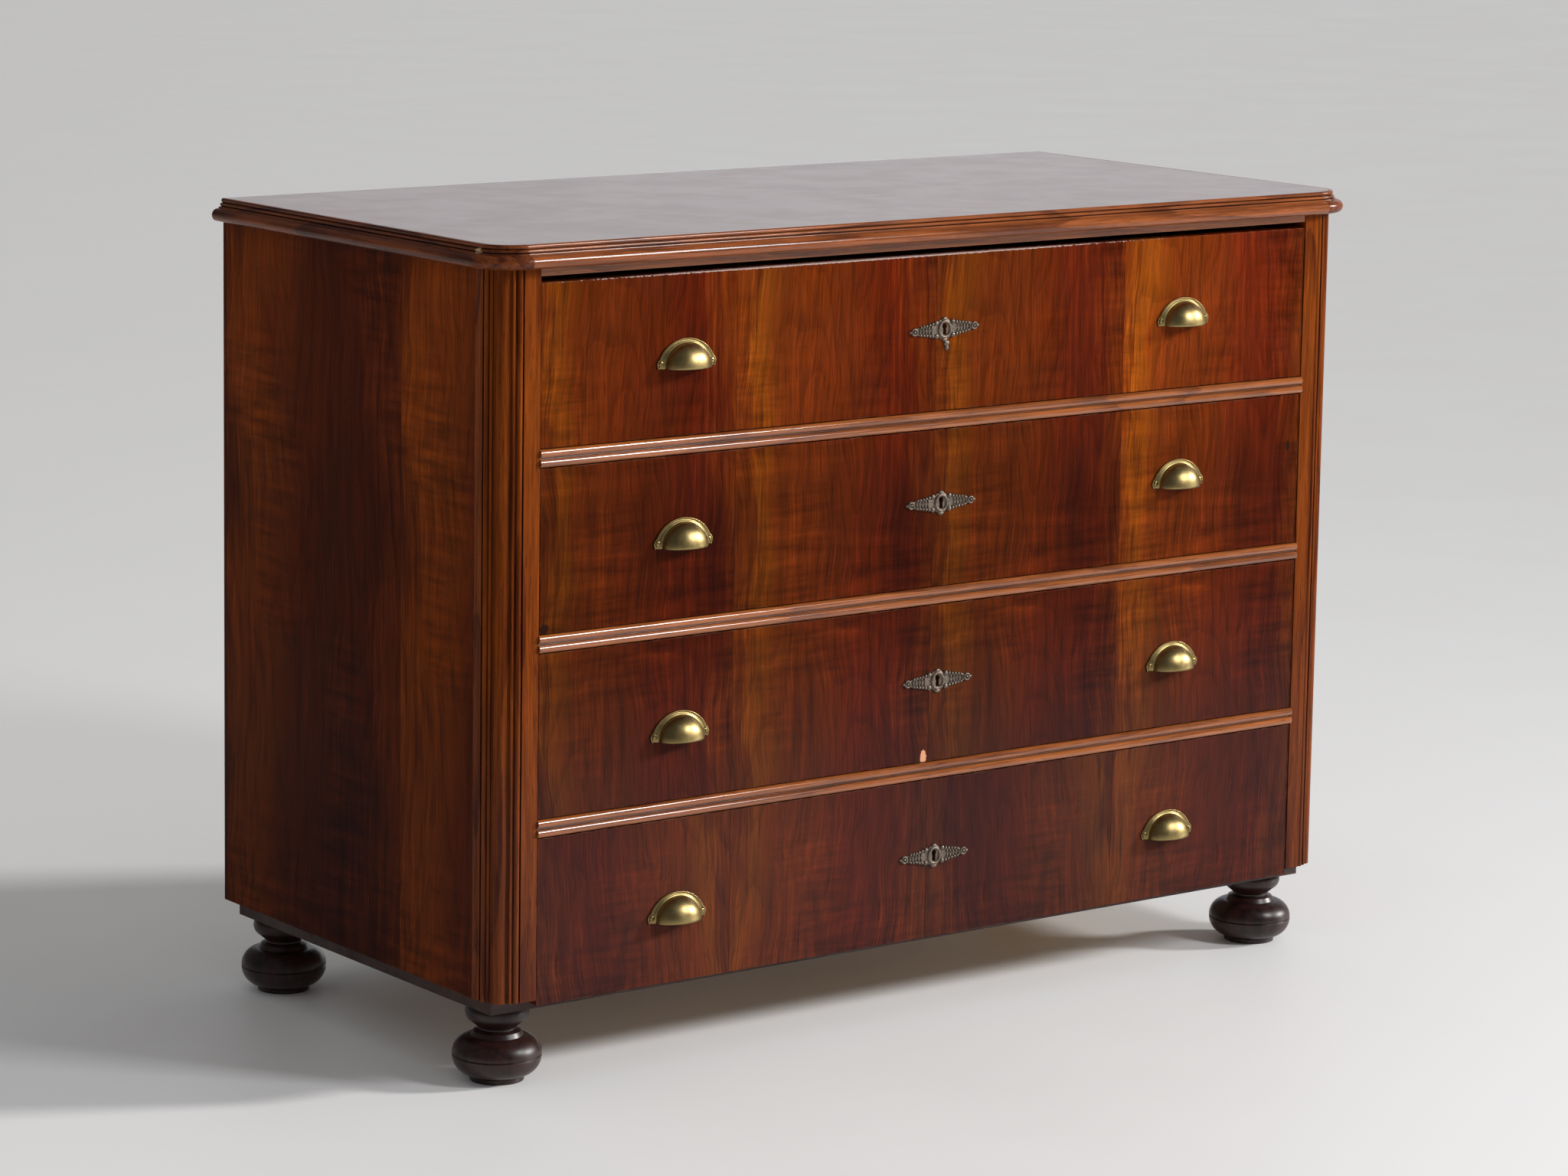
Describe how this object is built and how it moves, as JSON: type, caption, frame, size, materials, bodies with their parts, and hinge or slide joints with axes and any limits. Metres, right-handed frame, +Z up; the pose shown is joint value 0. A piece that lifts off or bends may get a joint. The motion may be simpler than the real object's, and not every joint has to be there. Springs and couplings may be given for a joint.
{
  "type": "chest of drawers",
  "caption": "Low walnut chest of drawers with rounded reeded corners, a moulded top, beaded drawer rails, cup pulls, locks with cast escutcheons and turned bun feet.",
  "frame": {"origin": "on the floor, in the middle of the object's width and depth, the pulls counted in", "axes": "+X to the right as seen from the front, the drawers face and open towards -Y, +Z up"},
  "size_m": [1.195, 0.571, 0.892],
  "materials": {
    "polished_top": "high-gloss french polish",
    "figured_walnut": "french polished veneer",
    "polished_walnut": "french polish",
    "inner_timber": "unpolished softwood",
    "ebonised_beech": "ebonised and polished",
    "aged_brass": "aged satin",
    "cast_alloy": "patinated casting",
    "lock_iron": "dull iron"
  },
  "bodies": {
    "carcass": {"top_board": "polished_top", "moulding_front": "polished_walnut", "moulding_left": "polished_walnut", "moulding_right": "polished_walnut", "side_panel_left": "polished_walnut", "side_panel_right": "polished_walnut", "corner_post_left": "polished_walnut", "corner_post_right": "polished_walnut", "top_rail": "polished_walnut", "drawer_rail_upper": "polished_walnut", "drawer_rail_middle": "polished_walnut", "drawer_rail_lower": "polished_walnut", "bottom_board": "inner_timber", "back_boards": "inner_timber", "drawer_runners": "inner_timber", "drawer_guides": "inner_timber", "drawer_stops": "inner_timber", "base_frame": "polished_walnut", "corner_blocks": "inner_timber", "foot_front_left": "ebonised_beech", "foot_front_right": "ebonised_beech", "foot_rear_left": "ebonised_beech", "foot_rear_right": "ebonised_beech"},
    "drawer_1": {"drawer_1_front": "figured_walnut", "drawer_1_side_left": "inner_timber", "drawer_1_side_right": "inner_timber", "drawer_1_back": "inner_timber", "drawer_1_bottom": "inner_timber", "drawer_1_pulls": "aged_brass", "drawer_1_escutcheon": "cast_alloy", "drawer_1_lock_case": "lock_iron"},
    "lock_bolt_1": {"drawer_1_lock_bolt": "lock_iron"},
    "drawer_2": {"drawer_2_front": "figured_walnut", "drawer_2_side_left": "inner_timber", "drawer_2_side_right": "inner_timber", "drawer_2_back": "inner_timber", "drawer_2_bottom": "inner_timber", "drawer_2_pulls": "aged_brass", "drawer_2_escutcheon": "cast_alloy", "drawer_2_lock_case": "lock_iron"},
    "lock_bolt_2": {"drawer_2_lock_bolt": "lock_iron"},
    "drawer_3": {"drawer_3_front": "figured_walnut", "drawer_3_side_left": "inner_timber", "drawer_3_side_right": "inner_timber", "drawer_3_back": "inner_timber", "drawer_3_bottom": "inner_timber", "drawer_3_pulls": "aged_brass", "drawer_3_escutcheon": "cast_alloy", "drawer_3_lock_case": "lock_iron"},
    "lock_bolt_3": {"drawer_3_lock_bolt": "lock_iron"},
    "drawer_4": {"drawer_4_front": "figured_walnut", "drawer_4_side_left": "inner_timber", "drawer_4_side_right": "inner_timber", "drawer_4_back": "inner_timber", "drawer_4_bottom": "inner_timber", "drawer_4_pulls": "aged_brass", "drawer_4_escutcheon": "cast_alloy", "drawer_4_lock_case": "lock_iron"},
    "lock_bolt_4": {"drawer_4_lock_bolt": "lock_iron"}
  },
  "joints": [
    {"name": "drawer_slide_1", "type": "slide", "parent": "carcass", "child": "drawer_1", "axis": [0, -1, 0], "range_m": [0, 0.4]},
    {"name": "lock_bolt_slide_1", "type": "slide", "parent": "drawer_1", "child": "lock_bolt_1", "axis": [0, 0, 1], "range_m": [0, 0.013]},
    {"name": "drawer_slide_2", "type": "slide", "parent": "carcass", "child": "drawer_2", "axis": [0, -1, 0], "range_m": [0, 0.4]},
    {"name": "lock_bolt_slide_2", "type": "slide", "parent": "drawer_2", "child": "lock_bolt_2", "axis": [0, 0, 1], "range_m": [0, 0.013]},
    {"name": "drawer_slide_3", "type": "slide", "parent": "carcass", "child": "drawer_3", "axis": [0, -1, 0], "range_m": [0, 0.4]},
    {"name": "lock_bolt_slide_3", "type": "slide", "parent": "drawer_3", "child": "lock_bolt_3", "axis": [0, 0, 1], "range_m": [0, 0.013]},
    {"name": "drawer_slide_4", "type": "slide", "parent": "carcass", "child": "drawer_4", "axis": [0, -1, 0], "range_m": [0, 0.4]},
    {"name": "lock_bolt_slide_4", "type": "slide", "parent": "drawer_4", "child": "lock_bolt_4", "axis": [0, 0, 1], "range_m": [0, 0.013]}
  ]
}
